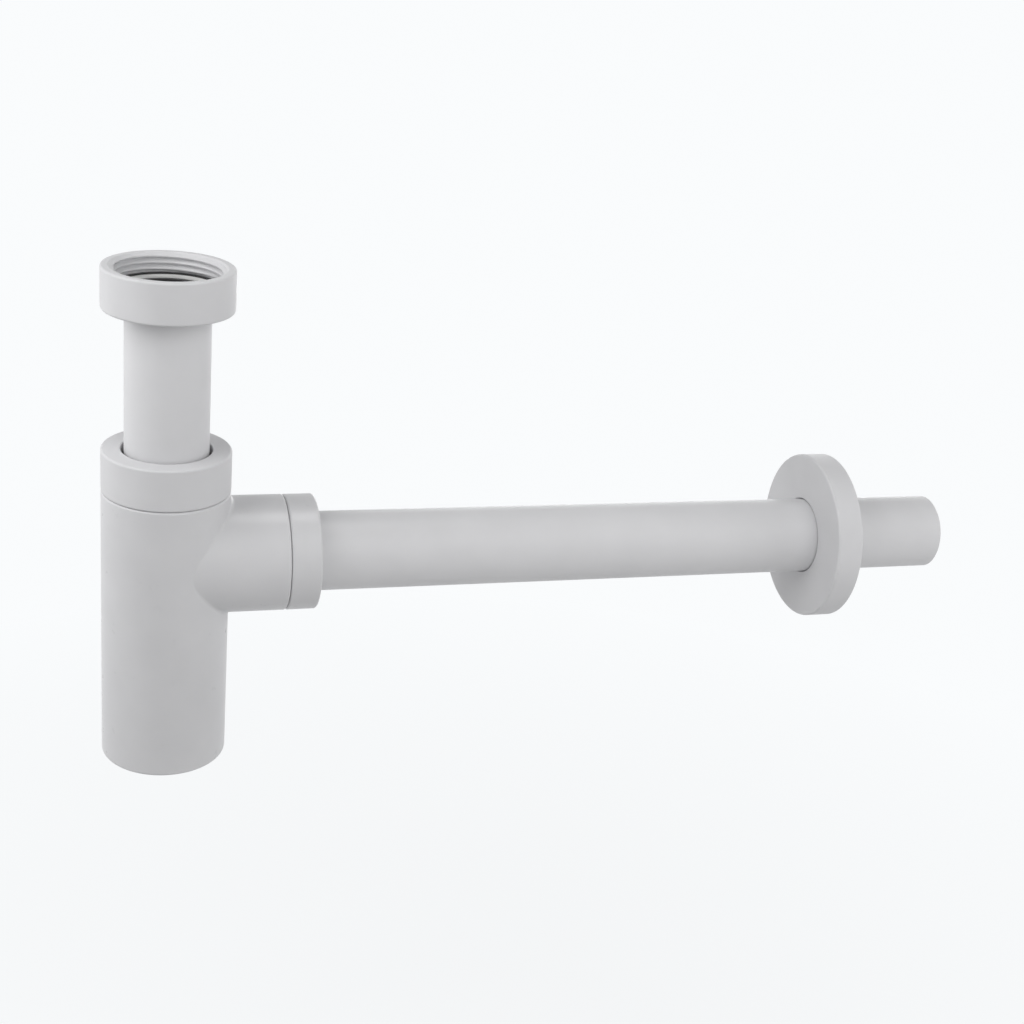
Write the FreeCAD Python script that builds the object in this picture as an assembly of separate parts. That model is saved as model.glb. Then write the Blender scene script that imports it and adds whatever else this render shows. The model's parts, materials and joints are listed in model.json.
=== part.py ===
"""Round bottle trap for a washbasin: union nut, dip tube, bottle, outlet tube and wall flange.

Millimetres, +Z up. The origin is on the bottle's axis, at the foot of the union nut's thread,
where the tail of the basin waste stops. The outlet runs along +X.
"""

import FreeCAD, Part
import math
import os

Vector = FreeCAD.Vector

# Tube: the same size for the dip tube and the outlet tube
TUBE_DIAMETER = 32.0
TUBE_WALL = 2.0
TUBE_END_ROUND = 0.4

# Union at the inlet: the tube's flange and a cupped rubber washer with its friction ring, held by a nut.
# From the tube outwards, the radial sizes add up to a G1 1/4 thread, 41.91 mm across.
TUBE_FLANGE_WIDTH = 3.3
TUBE_FLANGE_CLEARANCE = 1.655
TUBE_FLANGE_THICKNESS = 1.6
WASHER_CLEARANCE = 0.755
WASHER_THICKNESS = 2.0
WASHER_LIP_WIDTH = 1.0
WASHER_SINK = 0.05
FRICTION_RING_CLEARANCE = 0.1
FRICTION_RING_THICKNESS = 0.6
FRICTION_RING_RECESS = 0.45
UNION_THREAD_LENGTH = 6.7
UNION_MOUTH_CHAMFER = 0.8
UNION_UNDERCUT_DEPTH = 0.55
UNION_NUT_WALL = 3.6
UNION_NUT_LIP = 3.7
UNION_NUT_ROUND = 0.9
UNION_LIP_CLEARANCE = 0.5

# Bottle
BOTTLE_ROOM = 5.6
BOTTLE_WALL = 3.0
BOTTLE_FLOOR = 3.0
BOTTLE_FOOT_ROUND = 1.2
BOTTLE_FLOOR_ROUND = 3.0
BOTTLE_ROOF_THICKNESS = 3.0
BOTTLE_ROOF_FALL = 4.0
INLET_TUBE_SHOWING = 54.75
WATER_SEAL = 50.0
DIP_TUBE_CLEARANCE = 18.4

# Side branch of the bottle
BRANCH_INSET = 1.45
BRANCH_WALL = 3.0
BRANCH_LENGTH = 46.0
BRANCH_BELOW_SHOULDER = 5.1
BRANCH_SADDLE_FILLET = 1.5

# Compression joint: a nut pulls a slip ring and a tapered seal into the coned mouth of a neck.
# Both joints grip the same tube, so they share their seal, ring and thread, which is G1 1/4 too.
# Only the throat below the cone differs: the collar's is long, to guide the dip tube.
COLLAR_THROAT_LENGTH = 6.4
OUTLET_THROAT_LENGTH = 1.7
NECK_THROAT_CLEARANCE = 1.0
NECK_CONE_WIDTH = 2.0
NECK_CONE_LENGTH = 4.5
NECK_MOUTH_WALL = 1.2
NECK_ROUND = 0.4
SHOULDER_ROUND = 0.8
SEAL_TUBE_CLEARANCE = 0.1
SEAL_CONE_CLEARANCE = 0.1
SEAL_STAND = 2.0
SLIP_RING_THICKNESS = 1.4
SLIP_RING_TUBE_CLEARANCE = 1.2
SLIP_RING_NECK_INSET = 0.5
JOINT_THREAD_DEPTH = 0.755
NUT_END_PLATE = 2.5
NUT_ROUND = 0.9
NUT_SEAM_GAP = 0.15
NUT_SEAM_ROUND = 0.8
NUT_HOLE_CLEARANCE = 1.2
NUT_HOLE_ROUND = 0.5

# Outlet tube and wall flange
OUTLET_TUBE_LENGTH = 308.0
OUTLET_TUBE_INSERTION = 16.7
OUTLET_SPIGOT_RELIEF = 0.25
OUTLET_SPIGOT_LENGTH = 50.0
OUTLET_SPIGOT_CHAMFER = 0.5
FLANGE_DIAMETER = 71.3
FLANGE_DEPTH = 11.2
FLANGE_FACE_THICKNESS = 2.0
FLANGE_RIM_WALL = 2.0
FLANGE_ROUND = 1.0
FLANGE_RIM_ROUND = 0.5
FLANGE_HOLE_CLEARANCE = 0.3
FLANGE_HOLE_ROUND = 0.5
FLANGE_HUB_WALL = 2.0
FLANGE_HUB_SHORTFALL = 4.0
FLANGE_TO_SPIGOT = 0.5

# Radii that follow from the sizes above
TUBE_R = TUBE_DIAMETER / 2
TUBE_BORE_R = TUBE_R - TUBE_WALL
TUBE_FLANGE_R = TUBE_R + TUBE_FLANGE_WIDTH
UNION_THREAD_R = TUBE_FLANGE_R + TUBE_FLANGE_CLEARANCE
WASHER_R = UNION_THREAD_R - WASHER_CLEARANCE
WASHER_LIP_R = WASHER_R - WASHER_LIP_WIDTH
CHAMBER_R = TUBE_R + BOTTLE_ROOM
BOTTLE_R = CHAMBER_R + BOTTLE_WALL
BRANCH_R = BOTTLE_R - BRANCH_INSET
THROAT_R = TUBE_R + NECK_THROAT_CLEARANCE
MOUTH_R = THROAT_R + NECK_CONE_WIDTH
NECK_R = MOUTH_R + NECK_MOUTH_WALL
JOINT_THREAD_R = NECK_R + JOINT_THREAD_DEPTH

# Stations of a compression joint, measured outwards from the seat of its seal at the foot of the cone
SEAL_TOP = NECK_CONE_LENGTH + SEAL_STAND
NUT_PLATE = SEAL_TOP + SLIP_RING_THICKNESS
NUT_END = NUT_PLATE + NUT_END_PLATE

# Heights, downwards from the union nut
UNION_TOP = UNION_THREAD_LENGTH + UNION_MOUTH_CHAMFER
WASHER_LIP_TOP = -WASHER_SINK
FRICTION_RING_TOP = WASHER_LIP_TOP - FRICTION_RING_RECESS
WASHER_TOP = FRICTION_RING_TOP - FRICTION_RING_THICKNESS
TUBE_FLANGE_TOP = WASHER_TOP - WASHER_THICKNESS
TUBE_FLANGE_FOOT = TUBE_FLANGE_TOP - TUBE_FLANGE_THICKNESS
UNION_FOOT = TUBE_FLANGE_FOOT - UNION_NUT_LIP
COLLAR_SEAT_Z = UNION_FOOT - INLET_TUBE_SHOWING - NUT_END
SHOULDER_Z = COLLAR_SEAT_Z - COLLAR_THROAT_LENGTH
OUTLET_Z = SHOULDER_Z - BRANCH_BELOW_SHOULDER - BRANCH_R
DIP_END_Z = OUTLET_Z - TUBE_BORE_R - WATER_SEAL
FLOOR_Z = DIP_END_Z - DIP_TUBE_CLEARANCE
FOOT_Z = FLOOR_Z - BOTTLE_FLOOR

# Stations along the outlet, from the bottle's axis
OUTLET_SEAT_X = BRANCH_LENGTH + OUTLET_THROAT_LENGTH
OUTLET_INNER_END = BRANCH_LENGTH - OUTLET_TUBE_INSERTION
OUTLET_OUTER_END = OUTLET_INNER_END + OUTLET_TUBE_LENGTH
FLANGE_BACK = OUTLET_OUTER_END - OUTLET_SPIGOT_LENGTH - FLANGE_TO_SPIGOT
FLANGE_FRONT = FLANGE_BACK - FLANGE_DEPTH


def outline(corners):
    """Closed face in the XZ plane from (r, z, radius) corners, each corner rounded by a tangent arc."""
    points = [Vector(r, 0, z) for r, z, _ in corners]
    count = len(points)
    stretches = []
    for i in range(count):
        here = points[i]
        radius = corners[i][2]
        to_last = (points[i - 1] - here).normalize()
        to_next = (points[(i + 1) % count] - here).normalize()
        if radius == 0:
            stretches.append((here, None, here))
            continue
        half = to_last.getAngle(to_next) / 2
        setback = radius / math.tan(half)
        middle = (to_last + to_next).normalize()
        nearest = here + middle * (radius / math.sin(half) - radius)
        stretches.append((here + to_last * setback, nearest, here + to_next * setback))
    edges = []
    for i in range(count):
        start, nearest, end = stretches[i]
        if nearest is not None:
            edges.append(Part.Arc(start, nearest, end).toShape())
        following = stretches[(i + 1) % count][0]
        if end.distanceToPoint(following) > 1e-6:
            edges.append(Part.LineSegment(end, following).toShape())
    return Part.Face(Part.Wire(edges))


def turned(corners):
    """Solid of revolution about Z, as from a lathe, from (r, z, radius) corners."""
    return outline(corners).revolve(Vector(0, 0, 0), Vector(0, 0, 1), 360)


def flat_ring(inner_r, outer_r, low, high):
    """Plain ring of square section about Z."""
    return turned([(inner_r, low, 0), (outer_r, low, 0), (outer_r, high, 0), (inner_r, high, 0)])


def on_collar(shape):
    """A shape turned about Z, raised so that its own zero is at the seat of the collar's seal."""
    shape.translate(Vector(0, 0, COLLAR_SEAT_Z))
    return shape


def on_outlet(shape, x):
    """A shape turned about Z, laid along the outlet's axis with its own zero at station x."""
    shape.rotate(Vector(0, 0, 0), Vector(0, 1, 0), 90)
    shape.translate(Vector(x, 0, OUTLET_Z))
    return shape


def union_nut():
    """Threaded mouth above, a lip below that hooks under the tube's flange, and an undercut between them."""
    undercut_r = UNION_THREAD_R + UNION_UNDERCUT_DEPTH
    outer_r = UNION_THREAD_R + UNION_NUT_WALL
    lip_r = TUBE_R + UNION_LIP_CLEARANCE
    return turned([
        (lip_r, UNION_FOOT, 0),
        (outer_r, UNION_FOOT, UNION_NUT_ROUND),
        (outer_r, UNION_TOP, UNION_NUT_ROUND),
        (UNION_THREAD_R + UNION_MOUTH_CHAMFER, UNION_TOP, 0),
        (UNION_THREAD_R, UNION_THREAD_LENGTH, 0),
        (UNION_THREAD_R, 0, 0),
        (undercut_r, -UNION_UNDERCUT_DEPTH, 0),
        (undercut_r, TUBE_FLANGE_FOOT, 0),
        (lip_r, TUBE_FLANGE_FOOT, 0),
    ])


def union_washer():
    """Rubber washer whose outer lip stands up round the friction ring."""
    return turned([
        (TUBE_BORE_R, TUBE_FLANGE_TOP, 0),
        (WASHER_R, TUBE_FLANGE_TOP, 0),
        (WASHER_R, WASHER_LIP_TOP, 0),
        (WASHER_LIP_R, WASHER_LIP_TOP, 0),
        (WASHER_LIP_R, WASHER_TOP, 0),
        (TUBE_BORE_R, WASHER_TOP, 0),
    ])


def friction_ring():
    """Thin slippery ring in the cup of the washer, under the tail of the basin waste."""
    return flat_ring(TUBE_R, WASHER_LIP_R - FRICTION_RING_CLEARANCE, WASHER_TOP, FRICTION_RING_TOP)


def dip_tube():
    """Flanged at the top, where the union nut holds it, and open below the water line."""
    return turned([
        (TUBE_BORE_R, DIP_END_Z, TUBE_END_ROUND),
        (TUBE_R, DIP_END_Z, TUBE_END_ROUND),
        (TUBE_R, TUBE_FLANGE_FOOT, 0),
        (TUBE_FLANGE_R, TUBE_FLANGE_FOOT, 0),
        (TUBE_FLANGE_R, TUBE_FLANGE_TOP, 0),
        (TUBE_BORE_R, TUBE_FLANGE_TOP, 0),
    ])


def compression_nut(outer_r, throat_length):
    """Cap as wide as its barrel, with a hole for the tube in its end plate."""
    seam = NUT_SEAM_GAP - throat_length
    hole_r = TUBE_R + NUT_HOLE_CLEARANCE
    return turned([
        (JOINT_THREAD_R, seam, 0),
        (outer_r, seam, NUT_SEAM_ROUND),
        (outer_r, NUT_END, NUT_ROUND),
        (hole_r, NUT_END, NUT_HOLE_ROUND),
        (hole_r, NUT_PLATE, 0),
        (JOINT_THREAD_R, NUT_PLATE, 0),
    ])


def slip_ring():
    """Thin ring that lets the nut turn without dragging the seal round."""
    inner_r = TUBE_R + SLIP_RING_TUBE_CLEARANCE
    return flat_ring(inner_r, NECK_R - SLIP_RING_NECK_INSET, SEAL_TOP, NUT_PLATE)


def tapered_seal():
    """Rubber ring whose cone lies in the neck's mouth."""
    inner_r = TUBE_R + SEAL_TUBE_CLEARANCE
    return turned([
        (inner_r, 0, 0),
        (THROAT_R - SEAL_CONE_CLEARANCE, 0, 0),
        (MOUTH_R - SEAL_CONE_CLEARANCE, NECK_CONE_LENGTH, 0),
        (MOUTH_R - SEAL_CONE_CLEARANCE, SEAL_TOP, 0),
        (inner_r, SEAL_TOP, 0),
    ])


def necked_outside(barrel_r, throat_length, length, foot_round):
    """Solid barrel that hangs below a rounded shoulder, with a neck above it."""
    shoulder = -throat_length
    return turned([
        (0, shoulder - length, 0),
        (barrel_r, shoulder - length, foot_round),
        (barrel_r, shoulder, SHOULDER_ROUND),
        (NECK_R, shoulder, 0),
        (NECK_R, NECK_CONE_LENGTH, NECK_ROUND),
        (0, NECK_CONE_LENGTH, 0),
    ])


def necked_inside(hollow_r, throat_length, length, floor_round, roof_fall):
    """Hollow of such a barrel, with a throat and a coned mouth for the seal."""
    shoulder = -throat_length
    roof = shoulder - BOTTLE_ROOF_THICKNESS
    return turned([
        (0, shoulder - length, 0),
        (hollow_r, shoulder - length, floor_round),
        (hollow_r, roof - roof_fall, 0),
        (THROAT_R, roof, 0),
        (THROAT_R, 0, 0),
        (MOUTH_R, NECK_CONE_LENGTH, 0),
        (0, NECK_CONE_LENGTH, 0),
    ])


def on_saddle(edge):
    """True for the edges where the branch's outside meets the bottle's outside."""
    middle = edge.valueAt((edge.FirstParameter + edge.LastParameter) / 2)
    from_bottle = math.hypot(middle.x, middle.y)
    from_branch = math.hypot(middle.y, middle.z - OUTLET_Z)
    return abs(from_bottle - BOTTLE_R) < 0.01 and abs(from_branch - BRANCH_R) < 0.01


def bottle_body():
    """Closed bottle with a neck on top, and a branch of the same build on its side."""
    height = SHOULDER_Z - FOOT_Z
    bottle = on_collar(necked_outside(BOTTLE_R, COLLAR_THROAT_LENGTH, height, BOTTLE_FOOT_ROUND))
    branch = on_outlet(necked_outside(BRANCH_R, OUTLET_THROAT_LENGTH, BRANCH_LENGTH, 0), OUTLET_SEAT_X)
    outside = bottle.fuse(branch).removeSplitter()
    saddle = [edge for edge in outside.Edges if on_saddle(edge)]
    outside = outside.makeFillet(BRANCH_SADDLE_FILLET, saddle)

    depth = SHOULDER_Z - FLOOR_Z
    passage_r = BRANCH_R - BRANCH_WALL
    chamber = necked_inside(CHAMBER_R, COLLAR_THROAT_LENGTH, depth, BOTTLE_FLOOR_ROUND, BOTTLE_ROOF_FALL)
    passage = necked_inside(passage_r, OUTLET_THROAT_LENGTH, BRANCH_LENGTH, 0, 0)
    return outside.cut(on_collar(chamber).fuse(on_outlet(passage, OUTLET_SEAT_X)))


def outlet_tube():
    """Plain tube, drawn in a little at the spigot that goes into the wall."""
    spigot_r = TUBE_R - OUTLET_SPIGOT_RELIEF
    spigot_start = OUTLET_TUBE_LENGTH - OUTLET_SPIGOT_LENGTH
    return turned([
        (TUBE_BORE_R, 0, TUBE_END_ROUND),
        (TUBE_R, 0, TUBE_END_ROUND),
        (TUBE_R, spigot_start - OUTLET_SPIGOT_RELIEF, 0),
        (spigot_r, spigot_start, 0),
        (spigot_r, OUTLET_TUBE_LENGTH - OUTLET_SPIGOT_CHAMFER, 0),
        (spigot_r - OUTLET_SPIGOT_CHAMFER, OUTLET_TUBE_LENGTH, 0),
        (TUBE_BORE_R, OUTLET_TUBE_LENGTH, TUBE_END_ROUND),
    ])


def wall_flange():
    """Dished cover, open towards the wall, with a hub that grips the tube."""
    outer_r = FLANGE_DIAMETER / 2
    hole_r = TUBE_R + FLANGE_HOLE_CLEARANCE
    hub_r = hole_r + FLANGE_HUB_WALL
    hub_depth = FLANGE_DEPTH - FLANGE_HUB_SHORTFALL
    return turned([
        (hole_r, 0, FLANGE_HOLE_ROUND),
        (outer_r, 0, FLANGE_ROUND),
        (outer_r, FLANGE_DEPTH, FLANGE_RIM_ROUND),
        (outer_r - FLANGE_RIM_WALL, FLANGE_DEPTH, FLANGE_RIM_ROUND),
        (outer_r - FLANGE_RIM_WALL, FLANGE_FACE_THICKNESS, FLANGE_ROUND),
        (hub_r, FLANGE_FACE_THICKNESS, FLANGE_ROUND),
        (hub_r, hub_depth, 0),
        (hole_r, hub_depth, 0),
    ])


def main():
    nodes = {
        "inlet_nut": union_nut(),
        "inlet_washer": union_washer(),
        "inlet_friction_ring": friction_ring(),
        "inlet_tube": dip_tube(),
        "bottle_body": bottle_body(),
        "collar_nut": on_collar(compression_nut(BOTTLE_R, COLLAR_THROAT_LENGTH)),
        "collar_slip_ring": on_collar(slip_ring()),
        "collar_seal": on_collar(tapered_seal()),
        "outlet_nut": on_outlet(compression_nut(BRANCH_R, OUTLET_THROAT_LENGTH), OUTLET_SEAT_X),
        "outlet_slip_ring": on_outlet(slip_ring(), OUTLET_SEAT_X),
        "outlet_seal": on_outlet(tapered_seal(), OUTLET_SEAT_X),
        "outlet_tube": on_outlet(outlet_tube(), OUTLET_INNER_END),
        "wall_flange": on_outlet(wall_flange(), FLANGE_FRONT),
    }
    os.makedirs("parts", exist_ok=True)
    for name, shape in nodes.items():
        shape.exportStep(f"parts/{name}.step")
        print(name, "valid" if shape.isValid() else "NOT VALID", round(shape.Volume / 1000, 2), "cm3")


main()
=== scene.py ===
# %% [markdown]
# # A white bottle trap for a washbasin
#
# This lesson dresses a finished engineering model. The bottle, its tubes, nuts, seals and wall flange
# already have their true shape and place, so nothing here moves or resizes them. What is left for Blender
# is the part that a lathe drawing leaves out: the screw threads, the finish of the moulded plastic and the
# rubber, the light and the camera. Everything is in metres, with +Z up the dip tube and +X along the outlet.

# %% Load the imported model
import json
import math

import bpy
from mathutils import Matrix, Vector


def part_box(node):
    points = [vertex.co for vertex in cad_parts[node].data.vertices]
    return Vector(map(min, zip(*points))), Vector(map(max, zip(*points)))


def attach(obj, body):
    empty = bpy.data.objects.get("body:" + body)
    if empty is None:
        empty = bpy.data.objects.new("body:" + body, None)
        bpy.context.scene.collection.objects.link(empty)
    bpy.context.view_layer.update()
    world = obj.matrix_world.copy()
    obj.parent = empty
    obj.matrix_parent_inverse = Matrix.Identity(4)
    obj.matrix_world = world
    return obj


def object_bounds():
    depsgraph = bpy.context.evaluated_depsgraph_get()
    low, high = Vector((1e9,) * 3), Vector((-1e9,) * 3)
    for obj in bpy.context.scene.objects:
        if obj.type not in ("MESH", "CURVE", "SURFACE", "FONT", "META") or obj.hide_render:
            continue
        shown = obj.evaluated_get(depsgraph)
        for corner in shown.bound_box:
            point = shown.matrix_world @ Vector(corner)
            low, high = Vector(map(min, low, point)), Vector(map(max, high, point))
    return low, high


MM = 0.001
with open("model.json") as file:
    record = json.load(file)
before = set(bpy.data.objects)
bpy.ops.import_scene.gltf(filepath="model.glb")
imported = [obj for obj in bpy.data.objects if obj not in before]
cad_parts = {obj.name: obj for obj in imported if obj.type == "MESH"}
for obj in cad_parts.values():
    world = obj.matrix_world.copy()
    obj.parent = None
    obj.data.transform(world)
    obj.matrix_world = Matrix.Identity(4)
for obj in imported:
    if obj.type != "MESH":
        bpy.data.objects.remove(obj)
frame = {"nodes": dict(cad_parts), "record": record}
cad_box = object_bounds()
print("nodes:", ", ".join(sorted(frame["nodes"])))
print("CAD box:", [round(v / MM, 1) for corner in cad_box for v in corner], "mm")

# %% [markdown]
# ## Where things are
#
# A thread has to start and stop where its nut or neck does. Typing those places in again would let the two
# drift apart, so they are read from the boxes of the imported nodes, and from the mount that gives the basin
# thread's size.

# %% Measure the nuts and necks
mounts = {mount["name"]: mount for mount in frame["record"]["mounts"]}
UNION_WALL_R = mounts["inlet_thread"]["dims"]["r_mm"] * MM
UNION_THREAD_LENGTH = mounts["inlet_thread"]["dims"]["length_mm"] * MM
union_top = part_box("inlet_nut")[1].z
collar_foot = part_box("collar_nut")[0].z
neck_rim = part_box("bottle_body")[1].z
outlet_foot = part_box("outlet_nut")[0].x
branch_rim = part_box("bottle_body")[1].x
outlet_axis_z = (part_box("outlet_tube")[0].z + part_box("outlet_tube")[1].z) / 2
print(f"union thread: {UNION_THREAD_LENGTH / MM:.1f} mm of wall at radius {UNION_WALL_R / MM:.3f} mm")
print(f"neck inside the collar nut: {(neck_rim - collar_foot) / MM:.1f} mm")
print(f"neck inside the outlet nut: {(branch_rim - outlet_foot) / MM:.1f} mm")

# %% [markdown]
# ## A clean start for each piece
#
# Blender's operators act on whatever is selected, and the loaded nodes arrive selected. Each new piece
# therefore starts by deselecting everything, and ends with its object at the origin and its place in its
# mesh.


# %% Helpers for starting and dressing a piece
def start_clean():
    """Leave edit mode and deselect everything, so that the next operator touches only the new piece."""
    if bpy.context.object and bpy.context.object.mode != "OBJECT":
        bpy.ops.object.mode_set(mode="OBJECT")
    bpy.ops.object.select_all(action="DESELECT")


def dress(piece, name, body, material):
    """Name a finished piece, give it its finish and let it ride on a body of the trap."""
    piece.name = name
    piece.data.name = name
    piece.data.materials.clear()
    piece.data.materials.append(material)
    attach(piece, body)
    print(f"{name}: {len(piece.data.polygons)} faces, rides on {body}")


# %% [markdown]
# ## Finishes
#
# The bottle, the nuts and the flange are moulded in white plastic with a satin skin, which mirrors little,
# so its specular level is kept low. Up close such a skin is never one flat colour: it has a fine grain from
# the mould's surface, a very slow waviness, and a gloss that varies a little from place to place. Noise
# textures on Object coordinates give each of these at its real scale. The bottle and the outlet nut come
# from a smoother mould than the rest and hold a clearer highlight. The two tubes are drawn instead of
# moulded, so they are a shade whiter, with faint lines along their length.

# %% Tools for building a node material
MIDDLE_RANGE = (0.3, 0.7)


def new_material(name):
    """A material with an empty node tree but for its output and one Principled shader."""
    material = bpy.data.materials.new(name)
    material.use_nodes = True
    tree = material.node_tree
    tree.nodes.clear()
    output = tree.nodes.new("ShaderNodeOutputMaterial")
    shader = tree.nodes.new("ShaderNodeBsdfPrincipled")
    tree.links.new(shader.outputs["BSDF"], output.inputs["Surface"])
    return material, tree, shader


def noise(tree, scale, detail, roughness, stretch=(1, 1, 1)):
    """Noise on Object coordinates: scale counts the blotches in a metre, stretch draws them out."""
    place = tree.nodes.new("ShaderNodeTexCoord")
    mapping = tree.nodes.new("ShaderNodeMapping")
    mapping.inputs["Scale"].default_value = [1 / times for times in stretch]
    texture = tree.nodes.new("ShaderNodeTexNoise")
    texture.inputs["Scale"].default_value = scale
    texture.inputs["Detail"].default_value = detail
    texture.inputs["Roughness"].default_value = roughness
    tree.links.new(place.outputs["Object"], mapping.inputs["Vector"])
    tree.links.new(mapping.outputs["Vector"], texture.inputs["Vector"])
    return texture.outputs["Fac"]


def blend_colours(tree, factor, dark, light):
    """A colour that goes from dark to light over the factor's middle range."""
    ramp = tree.nodes.new("ShaderNodeValToRGB")
    for element, position, colour in zip(ramp.color_ramp.elements, MIDDLE_RANGE, (dark, light)):
        element.position = position
        element.color = (*colour, 1)
    tree.links.new(factor, ramp.inputs["Fac"])
    return ramp.outputs["Color"]


def spread(tree, factor, low, high):
    """A number that goes from low to high over the factor's middle range."""
    remap = tree.nodes.new("ShaderNodeMapRange")
    remap.inputs["From Min"].default_value, remap.inputs["From Max"].default_value = MIDDLE_RANGE
    remap.inputs["To Min"].default_value = low
    remap.inputs["To Max"].default_value = high
    tree.links.new(factor, remap.inputs["Value"])
    return remap.outputs["Result"]


def raise_skin(tree, height, depth, strength, below=None):
    """A bump of that depth in metres, laid over another bump if one is given."""
    bump = tree.nodes.new("ShaderNodeBump")
    bump.inputs["Distance"].default_value = depth
    bump.inputs["Strength"].default_value = strength
    tree.links.new(height, bump.inputs["Height"])
    if below is not None:
        tree.links.new(below, bump.inputs["Normal"])
    return bump.outputs["Normal"]


# %% White moulded plastic
PLASTIC_IOR = 1.5
SATIN_SPECULAR = 0.10


def moulded_plastic(name, smoothest, roughest, wave_depth, grain_depth):
    """White plastic from a mould: the range of its roughness, and how deep its waves and its grain are."""
    material, tree, shader = new_material(name)
    tint = noise(tree, scale=45, detail=3, roughness=0.5)
    gloss = noise(tree, scale=180, detail=4, roughness=0.6)
    waviness = noise(tree, scale=110, detail=2, roughness=0.4)
    grain = noise(tree, scale=2600, detail=3, roughness=0.6)
    colour = blend_colours(tree, tint, dark=(0.600, 0.600, 0.612), light=(0.630, 0.630, 0.642))
    tree.links.new(colour, shader.inputs["Base Color"])
    tree.links.new(spread(tree, gloss, smoothest, roughest), shader.inputs["Roughness"])
    soft = raise_skin(tree, waviness, wave_depth, strength=0.25)
    fine = raise_skin(tree, grain, grain_depth, strength=0.30, below=soft)
    tree.links.new(fine, shader.inputs["Normal"])
    shader.inputs["IOR"].default_value = PLASTIC_IOR
    shader.inputs["Specular IOR Level"].default_value = SATIN_SPECULAR
    return material


MOULDED = moulded_plastic("white_moulded_plastic", smoothest=0.42, roughest=0.52,
                          wave_depth=0.08 * MM, grain_depth=0.02 * MM)
POLISHED = moulded_plastic("white_polished_plastic", smoothest=0.27, roughest=0.33,
                           wave_depth=0.03 * MM, grain_depth=0.01 * MM)
print("finishes:", MOULDED.name, "and", POLISHED.name)


# %% White drawn tube
def drawn_plastic(name, stretch):
    """Smooth tube plastic, its faint lines stretched along the tube."""
    material, tree, shader = new_material(name)
    tint = noise(tree, scale=60, detail=2, roughness=0.5)
    lines = noise(tree, scale=900, detail=3, roughness=0.6, stretch=stretch)
    colour = blend_colours(tree, tint, dark=(0.630, 0.630, 0.642), light=(0.650, 0.650, 0.662))
    tree.links.new(colour, shader.inputs["Base Color"])
    tree.links.new(spread(tree, lines, low=0.36, high=0.44), shader.inputs["Roughness"])
    tree.links.new(raise_skin(tree, lines, depth=0.01 * MM, strength=0.25), shader.inputs["Normal"])
    shader.inputs["IOR"].default_value = PLASTIC_IOR
    shader.inputs["Specular IOR Level"].default_value = SATIN_SPECULAR
    return material


LINE_STRETCH = 60
UPRIGHT_TUBE = drawn_plastic("white_upright_tube", stretch=(1, 1, LINE_STRETCH))
OUTLET_TUBE = drawn_plastic("white_outlet_tube", stretch=(LINE_STRETCH, 1, 1))
print("finishes:", UPRIGHT_TUBE.name, "and", OUTLET_TUBE.name)

# %% [markdown]
# The washer and the seals are black rubber, which is rougher, a little dusty, and shows the fine pits of its
# mould. The friction ring and the slip rings are thin natural polyethylene: whiter than the body, waxy, and
# faintly uneven.


# %% Black rubber and pale ring plastic
def black_rubber():
    """Dull rubber with dust on it and fine pits in its skin."""
    material, tree, shader = new_material("black_seal_rubber")
    dust = noise(tree, scale=300, detail=5, roughness=0.65)
    pits = noise(tree, scale=1800, detail=2, roughness=0.5)
    colour = blend_colours(tree, dust, dark=(0.008, 0.008, 0.009), light=(0.020, 0.020, 0.021))
    tree.links.new(colour, shader.inputs["Base Color"])
    tree.links.new(spread(tree, dust, low=0.60, high=0.78), shader.inputs["Roughness"])
    tree.links.new(raise_skin(tree, pits, depth=0.04 * MM, strength=0.5), shader.inputs["Normal"])
    return material


def pale_ring_plastic():
    """Waxy pale plastic, a little cloudy."""
    material, tree, shader = new_material("pale_ring_plastic")
    cloud = noise(tree, scale=120, detail=3, roughness=0.5)
    marks = noise(tree, scale=1500, detail=2, roughness=0.5)
    colour = blend_colours(tree, cloud, dark=(0.66, 0.66, 0.65), light=(0.72, 0.72, 0.71))
    tree.links.new(colour, shader.inputs["Base Color"])
    tree.links.new(spread(tree, cloud, low=0.45, high=0.55), shader.inputs["Roughness"])
    tree.links.new(raise_skin(tree, marks, depth=0.02 * MM, strength=0.4), shader.inputs["Normal"])
    return material


RUBBER = black_rubber()
PALE = pale_ring_plastic()
print("finishes:", RUBBER.name, "and", PALE.name)

# %% [markdown]
# ## Dressing the loaded nodes
#
# Each node already names a material slot in its record. One table from slot to finish dresses them all, and
# a second one names the pieces with a finish of their own.

# %% Give every loaded node its finish
FINISHES = {"white_plastic": MOULDED, "black_rubber": RUBBER, "natural_plastic": PALE}
OWN_FINISHES = {"inlet_tube": UPRIGHT_TUBE, "outlet_tube": OUTLET_TUBE,
                "bottle_body": POLISHED, "outlet_nut": POLISHED}
for part in frame["record"]["subparts"]:
    node = frame["nodes"][part["node"]]
    node.data.materials.clear()
    node.data.materials.append(OWN_FINISHES.get(part["node"], FINISHES[part["material_slot"]]))

# %% [markdown]
# ## Screw threads
#
# The model's nuts and necks have plain walls where the real ones are threaded. A thread is one section
# carried round and up a helix, so each is made the same way: a plane is cut to the thread's section, its
# crest is rounded with a vertex bevel, and a Screw modifier winds it up. At both ends the real ridge runs
# out into the wall, so the last stretch sinks back into it. All the threads are British pipe threads of the
# size that fits a basin waste, with eleven turns to the inch, which is why the nuts and necks stay in mesh
# as they unscrew.

# %% The thread's section and its helix
INCH = 25.4 * MM
TURNS_PER_INCH = 11
PITCH = INCH / TURNS_PER_INCH
STEPS_PER_TURN = 96
RUN_OUT_STEPS = 14
ROOT_SINK = 0.2 * MM
CREST_ROUND_SHARE = 0.45
CREST_SEGMENTS = 4
CREST_TOLERANCE = 0.001 * MM
SMOOTH_ANGLE = math.radians(40)


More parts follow.
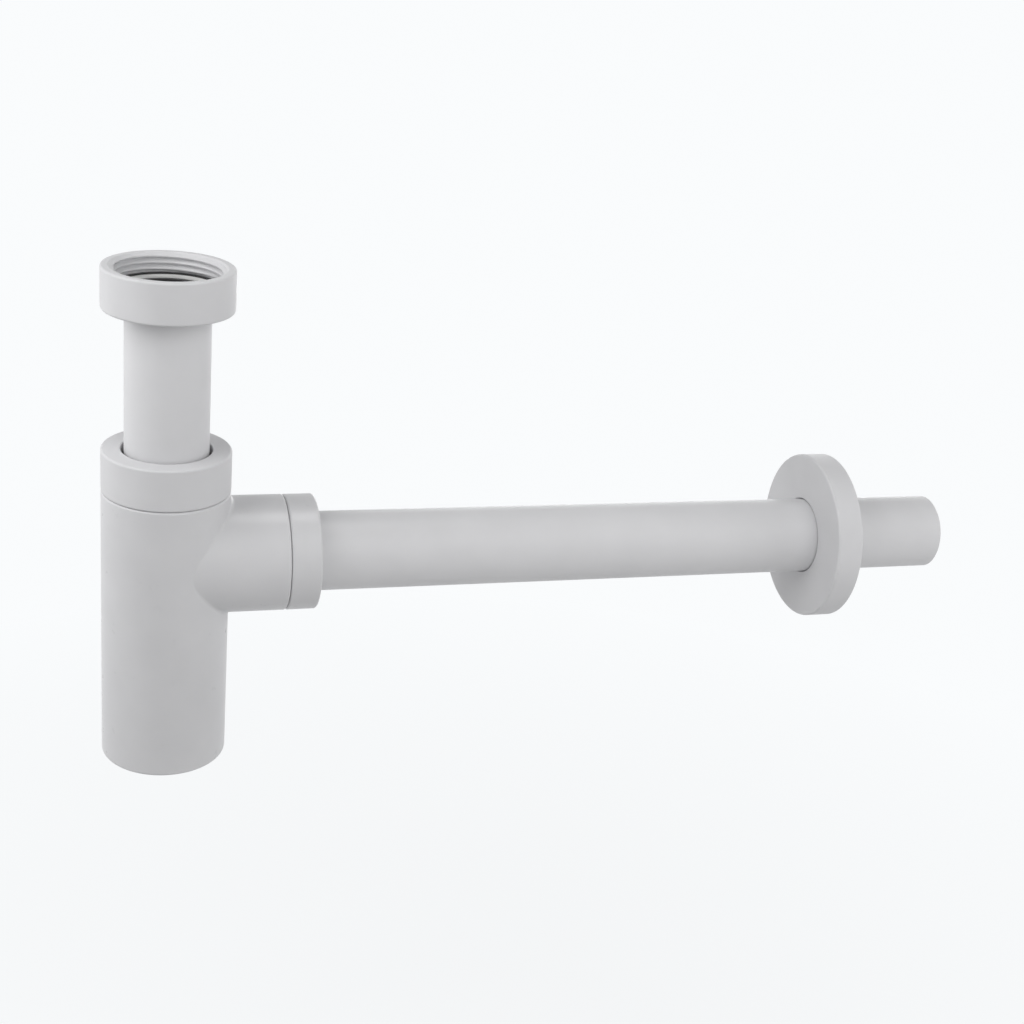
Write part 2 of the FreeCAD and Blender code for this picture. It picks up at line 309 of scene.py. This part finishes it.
def wind_thread(wall_r, crest_r, low, high, root_width, crest_width, start_angle=0.0):
    """A ridge on a wall about Z, between two heights: a crest radius below the wall's points it inwards."""
    start_clean()
    bpy.ops.mesh.primitive_plane_add(size=1)
    ridge = bpy.context.object
    inwards = crest_r < wall_r
    buried_r = wall_r + ROOT_SINK if inwards else wall_r - ROOT_SINK
    first = low + root_width / 2
    corners = [(buried_r, -root_width / 2), (crest_r, -crest_width / 2),
               (buried_r, root_width / 2), (crest_r, crest_width / 2)]
    for vertex, (r, z) in zip(ridge.data.vertices, corners):
        vertex.co = (r, 0, first + z)
    round_crest(ridge, crest_r, crest_width * CREST_ROUND_SHARE)
    section_size = len(ridge.data.vertices)
    turns = (high - low - root_width) / PITCH
    wind = ridge.modifiers.new("wind", "SCREW")
    wind.angle = 2 * math.pi * turns
    wind.screw_offset = PITCH * turns
    wind.steps = round(STEPS_PER_TURN * turns)
    wind.render_steps = wind.steps
    wind.use_smooth_shade = True
    bpy.ops.object.modifier_apply(modifier=wind.name)
    run_out(ridge, section_size, buried_r)
    close_ends()
    ridge.data.transform(Matrix.Rotation(start_angle, 4, "Z"))
    return ridge


def round_crest(ridge, crest_r, radius):
    """Round the section's crest corners, then keep only its outline, ready to be wound."""
    bpy.ops.object.mode_set(mode="EDIT")
    bpy.ops.mesh.select_all(action="DESELECT")
    bpy.ops.object.mode_set(mode="OBJECT")
    for vertex in ridge.data.vertices:
        vertex.select = abs(vertex.co.x - crest_r) < CREST_TOLERANCE
    bpy.ops.object.mode_set(mode="EDIT")
    bpy.ops.mesh.bevel(offset=radius, segments=CREST_SEGMENTS, affect="VERTICES")
    bpy.ops.mesh.select_all(action="SELECT")
    bpy.ops.mesh.delete(type="ONLY_FACE")
    bpy.ops.object.mode_set(mode="OBJECT")


def run_out(ridge, section_size, buried_r):
    """Sink the first and last stretch of the ridge into its wall, as a cutter leaves it."""
    vertices = ridge.data.vertices
    last = len(vertices) // section_size - 1
    for index, vertex in enumerate(vertices):
        step = index // section_size
        share = min(1.0, min(step, last - step) / RUN_OUT_STEPS)
        share = share * share * (3 - 2 * share)
        r = math.hypot(vertex.co.x, vertex.co.y)
        scale = (buried_r + (r - buried_r) * share) / r
        vertex.co.x *= scale
        vertex.co.y *= scale


def close_ends():
    """Fill the two open ends of the ridge just wound, turn every face outwards and smooth it."""
    bpy.ops.object.mode_set(mode="EDIT")
    bpy.ops.mesh.select_all(action="SELECT")
    bpy.ops.mesh.fill_holes(sides=0)
    bpy.ops.mesh.normals_make_consistent(inside=False)
    bpy.ops.object.mode_set(mode="OBJECT")
    bpy.ops.object.shade_smooth_by_angle(angle=SMOOTH_ANGLE)


# %% [markdown]
# The basin thread is the one that shows: its turns catch the light inside the union nut's mouth. It climbs
# from the washer past the end of the plain wall, and the mouth's chamfer cuts its last turn off, as it does
# on the real nut. It is turned so that its crests lie where the photograph has them on the far side.

# %% Thread in the union nut
UNION_THREAD_DEPTH = 1.35 * MM
UNION_CREST_R = UNION_WALL_R - UNION_THREAD_DEPTH
UNION_RIDGE_WIDTH = 2.0 * MM
UNION_CREST_WIDTH = 0.7 * MM
UNION_THREAD_TURN = math.radians(12)
CUT_SINK = 0.05 * MM


def cut_by_chamfer(ridge, wall_r, chamfer_foot, top):
    """Push what stands in the mouth's 45 degree chamfer back into the nut."""
    for vertex in ridge.data.vertices:
        if vertex.co.z <= chamfer_foot:
            continue
        vertex.co.z = min(vertex.co.z, top - CUT_SINK)
        r = math.hypot(vertex.co.x, vertex.co.y)
        cone_r = wall_r + vertex.co.z - chamfer_foot + CUT_SINK
        if r < cone_r:
            vertex.co.x *= cone_r / r
            vertex.co.y *= cone_r / r


union_thread = wind_thread(UNION_WALL_R, UNION_CREST_R, 0, union_top + UNION_RIDGE_WIDTH / 2,
                           UNION_RIDGE_WIDTH, UNION_CREST_WIDTH, start_angle=UNION_THREAD_TURN)
cut_by_chamfer(union_thread, UNION_WALL_R, UNION_THREAD_LENGTH, union_top)
dress(union_thread, "inlet_nut_thread", "union", MOULDED)

# %% [markdown]
# The two compression nuts run on the bottle's neck and on the branch's. Their threads are hidden until a nut
# is unscrewed, and then they have to mesh: the ridge on the neck is wound first, and the nut's own ridge lies
# half a pitch above it, in the groove.

# %% Threads of the two compression joints
NUT_WALL_R = UNION_WALL_R
JOINT_THREAD_DEPTH = 0.755 * MM
NECK_R = NUT_WALL_R - JOINT_THREAD_DEPTH
CREST_CLEARANCE = 0.15 * MM
JOINT_RIDGE_WIDTH = 1.05 * MM
JOINT_CREST_WIDTH = 0.55 * MM
THREAD_START = 0.8 * MM
THREAD_STOP = 0.5 * MM


def joint_threads(neck_length):
    """The ridges of a neck and of its nut about Z, in mesh, with the nut's foot at zero."""
    neck_ridge = wind_thread(NECK_R, NUT_WALL_R - CREST_CLEARANCE,
                             THREAD_START, neck_length - THREAD_STOP,
                             JOINT_RIDGE_WIDTH, JOINT_CREST_WIDTH)
    nut_ridge = wind_thread(NUT_WALL_R, NECK_R + CREST_CLEARANCE,
                            THREAD_START + PITCH / 2, neck_length + THREAD_STOP,
                            JOINT_RIDGE_WIDTH, JOINT_CREST_WIDTH)
    return neck_ridge, nut_ridge


neck_thread, collar_thread = joint_threads(neck_rim - collar_foot)
for ridge in (neck_thread, collar_thread):
    ridge.data.transform(Matrix.Translation((0, 0, collar_foot)))
dress(neck_thread, "bottle_neck_thread", "bottle", MOULDED)
dress(collar_thread, "collar_nut_thread", "collar", MOULDED)

# %% The same pair, laid along the outlet
to_outlet = Matrix.Translation((outlet_foot, 0, outlet_axis_z)) @ Matrix.Rotation(math.pi / 2, 4, "Y")
branch_thread, outlet_thread = joint_threads(branch_rim - outlet_foot)
for ridge in (branch_thread, outlet_thread):
    ridge.data.transform(to_outlet)
dress(branch_thread, "branch_neck_thread", "bottle", MOULDED)
dress(outlet_thread, "outlet_nut_thread", "outlet_coupling", MOULDED)

# %% [markdown]
# ## Floor and world
#
# The trap hangs from a basin, so the floor lies well below it and only closes the picture with pale paper.
# Paper lit by lamps is never evenly white in a render. So most of what the camera and the gloss see of it is
# its own colour, and a small share near the trap is the lit paper, which keeps the soft shadow. Light that
# falls on the trap still comes from the lit paper alone: that is what the Light Path node is for.

# %% What the camera and the gloss see, apart from what lights the trap
PAPER = (0.955, 0.970, 0.980)
LOOKING_RAYS = ("Is Camera Ray", "Is Glossy Ray", "Is Transmission Ray")


def is_looked_at(tree):
    """One for rays from the camera, off a gloss or through glass, and zero for light on the trap."""
    path = tree.nodes.new("ShaderNodeLightPath")
    looked_at = path.outputs[LOOKING_RAYS[0]]
    for kind in LOOKING_RAYS[1:]:
        either = tree.nodes.new("ShaderNodeMath")
        either.operation = "MAXIMUM"
        tree.links.new(looked_at, either.inputs[0])
        tree.links.new(path.outputs[kind], either.inputs[1])
        looked_at = either.outputs["Value"]
    return looked_at


def mix_by(tree, factor, first, second, output):
    """Send a mix of two shaders to the output: the second where the factor is one."""
    mix = tree.nodes.new("ShaderNodeMixShader")
    tree.links.new(factor, mix.inputs["Fac"])
    tree.links.new(first, mix.inputs[1])
    tree.links.new(second, mix.inputs[2])
    tree.links.new(mix.outputs["Shader"], output)


# %% Floor
CENTRE = (cad_box[0] + cad_box[1]) / 2
FLOOR_SIZE = 12
FLOOR_DROP = 0.25
FLOOR_GREY = 0.8
SHADOW_REACH = (0.15, 0.65)
PAPER_SHARE = (0.85, 1.00)


def floor_paper():
    """Paper that shows its own colour to the eye, with a share of lit paper near the trap."""
    material = bpy.data.materials.new("floor_paper")
    material.use_nodes = True
    tree = material.node_tree
    tree.nodes.clear()
    output = tree.nodes.new("ShaderNodeOutputMaterial")
    lit = tree.nodes.new("ShaderNodeBsdfDiffuse")
    lit.inputs["Color"].default_value = (FLOOR_GREY, FLOOR_GREY, FLOOR_GREY, 1)
    paper = tree.nodes.new("ShaderNodeEmission")
    paper.inputs["Color"].default_value = (*PAPER, 1)
    place = tree.nodes.new("ShaderNodeTexCoord")
    distance = tree.nodes.new("ShaderNodeVectorMath")
    distance.operation = "LENGTH"
    tree.links.new(place.outputs["Object"], distance.inputs[0])
    fade = tree.nodes.new("ShaderNodeMapRange")
    fade.inputs["From Min"].default_value, fade.inputs["From Max"].default_value = SHADOW_REACH
    fade.inputs["To Min"].default_value, fade.inputs["To Max"].default_value = PAPER_SHARE
    tree.links.new(distance.outputs["Value"], fade.inputs["Value"])
    share = tree.nodes.new("ShaderNodeMath")
    share.operation = "MULTIPLY"
    tree.links.new(fade.outputs["Result"], share.inputs[0])
    tree.links.new(is_looked_at(tree), share.inputs[1])
    mix_by(tree, share.outputs["Value"], lit.outputs["BSDF"], paper.outputs["Emission"],
           output.inputs["Surface"])
    return material


start_clean()
bpy.ops.mesh.primitive_plane_add(size=FLOOR_SIZE,
                                 location=(CENTRE.x, CENTRE.y, cad_box[0].z - FLOOR_DROP))
floor = bpy.context.object
floor.name = "floor"
floor.data.materials.append(floor_paper())
print(f"floor {FLOOR_DROP} m below the bottle")

# %% World
AMBIENT = 0.29


def studio_world():
    """Paper where the camera looks, and an even soft light everywhere else."""
    world = bpy.data.worlds.new("studio")
    bpy.context.scene.world = world
    world.use_nodes = True
    tree = world.node_tree
    tree.nodes.clear()
    output = tree.nodes.new("ShaderNodeOutputWorld")
    soft = tree.nodes.new("ShaderNodeBackground")
    soft.inputs["Color"].default_value = (1.0, 1.0, 1.0, 1)
    soft.inputs["Strength"].default_value = AMBIENT
    paper = tree.nodes.new("ShaderNodeBackground")
    paper.inputs["Color"].default_value = (*PAPER, 1)
    mix_by(tree, is_looked_at(tree), soft.outputs["Background"], paper.outputs["Background"],
           output.inputs["Surface"])


studio_world()
print("world light:", AMBIENT)

# %% [markdown]
# ## Lamps
#
# The photograph shows where its lamps stood. The bottle is brightest along its upper left and fades
# downwards, so one panel stands close by on the left, and a weaker one low down beside it. The outlet tube
# is brightest a little above the middle of its front, so another faces it from above. The flange's rim and
# the tail are as bright as the tube, so a fourth stands low on the right. A large one behind keeps the back
# from going dark. Their strengths were found by rendering the trap under each panel alone and adding the
# pictures up to match the photograph.


# %% Soft panels
def direction(azimuth, elevation):
    """The way from the trap to a lamp or the camera, at angles in degrees from the trap's front."""
    across = math.radians(azimuth)
    up = math.radians(elevation)
    return Vector((math.sin(across) * math.cos(up), -math.cos(across) * math.cos(up), math.sin(up)))


def hang_lamp(name, place, turn, width, depth, power):
    """A rectangle of soft light that the camera doesn't see: with no turn it shines straight down."""
    data = bpy.data.lights.new(name, "AREA")
    data.shape = "RECTANGLE"
    data.size = width
    data.size_y = depth
    data.energy = power
    lamp = bpy.data.objects.new(name, data)
    lamp.location = place
    lamp.rotation_euler = turn
    lamp.visible_camera = False
    bpy.context.scene.collection.objects.link(lamp)
    print(f"{name}: {power} W at {[round(v, 2) for v in lamp.location]}")
    return lamp


def panel(name, azimuth, elevation, distance, size, power):
    """A square soft light that faces the middle of the trap."""
    offset = direction(azimuth, elevation) * distance
    turn = (-offset).to_track_quat("-Z", "Y").to_euler()
    hang_lamp(name, CENTRE + offset, turn, size, size, power)


panel("left_panel", azimuth=-80, elevation=35, distance=0.65, size=0.5, power=2.03)
panel("low_left_panel", azimuth=-110, elevation=5, distance=0.65, size=0.5, power=0.98)
panel("front_panel", azimuth=10, elevation=35, distance=0.65, size=0.5, power=1.98)
panel("right_panel", azimuth=70, elevation=5, distance=0.65, size=0.5, power=1.14)
panel("back_panel", azimuth=150, elevation=5, distance=1.3, size=1.0, power=5.0)

# %% [markdown]
# A soft bright line runs along the top of the branch and its nut: the reflection of a box of light overhead.
# A lamp that is kept out of the diffuse light leaves every tone as it was and adds that line alone. It hangs
# where the skin of the branch turns the camera's view straight up.

# %% Overhead box, for the gloss alone
SOFTBOX_PLACE = Vector((100, 27, 242)) * MM
SOFTBOX_LENGTH = 100 * MM
SOFTBOX_DEPTH = 120 * MM
SOFTBOX_POWER = 0.62
STRAIGHT_DOWN = (0, 0, 0)
softbox = hang_lamp("overhead_softbox", SOFTBOX_PLACE, STRAIGHT_DOWN,
                    SOFTBOX_LENGTH, SOFTBOX_DEPTH, SOFTBOX_POWER)
softbox.visible_diffuse = False

# %% [markdown]
# ## Camera
#
# The photograph looks down on the trap from the left, with the camera rolled a few degrees, so that the
# upright bottle leans and the outlet climbs to the right. The lens and the place were fitted to the trap's
# outline.

# %% Camera at the photograph's viewing angle
VIEW_AZIMUTH = -18.68
VIEW_ELEVATION = 22.28
VIEW_ROLL = math.radians(5.78)
VIEW_DISTANCE = 652.2 * MM
VIEW_AIM = Vector((140.0, 0, -87.5)) * MM
VIEW_RISE = -5.58 * MM
LENS = 55.55
SENSOR_WIDTH = 36


def set_camera():
    """Place the camera behind its aim, rolled about its own line of sight."""
    back = direction(VIEW_AZIMUTH, VIEW_ELEVATION)
    level_right = Vector((0, 0, 1)).cross(back).normalized()
    level_up = back.cross(level_right)
    right = math.cos(VIEW_ROLL) * level_right + math.sin(VIEW_ROLL) * level_up
    up = back.cross(right)
    data = bpy.data.cameras.new("camera")
    data.lens = LENS
    data.sensor_width = SENSOR_WIDTH
    camera = bpy.data.objects.new("camera", data)
    bpy.context.scene.collection.objects.link(camera)
    place = VIEW_AIM + up * VIEW_RISE + back * VIEW_DISTANCE
    turn = Matrix((right, up, back)).transposed().to_4x4()
    camera.matrix_world = Matrix.Translation(place) @ turn
    bpy.context.scene.camera = camera
    print("camera at", [round(v, 4) for v in place])


set_camera()
bpy.context.scene.view_settings.view_transform = "Standard"
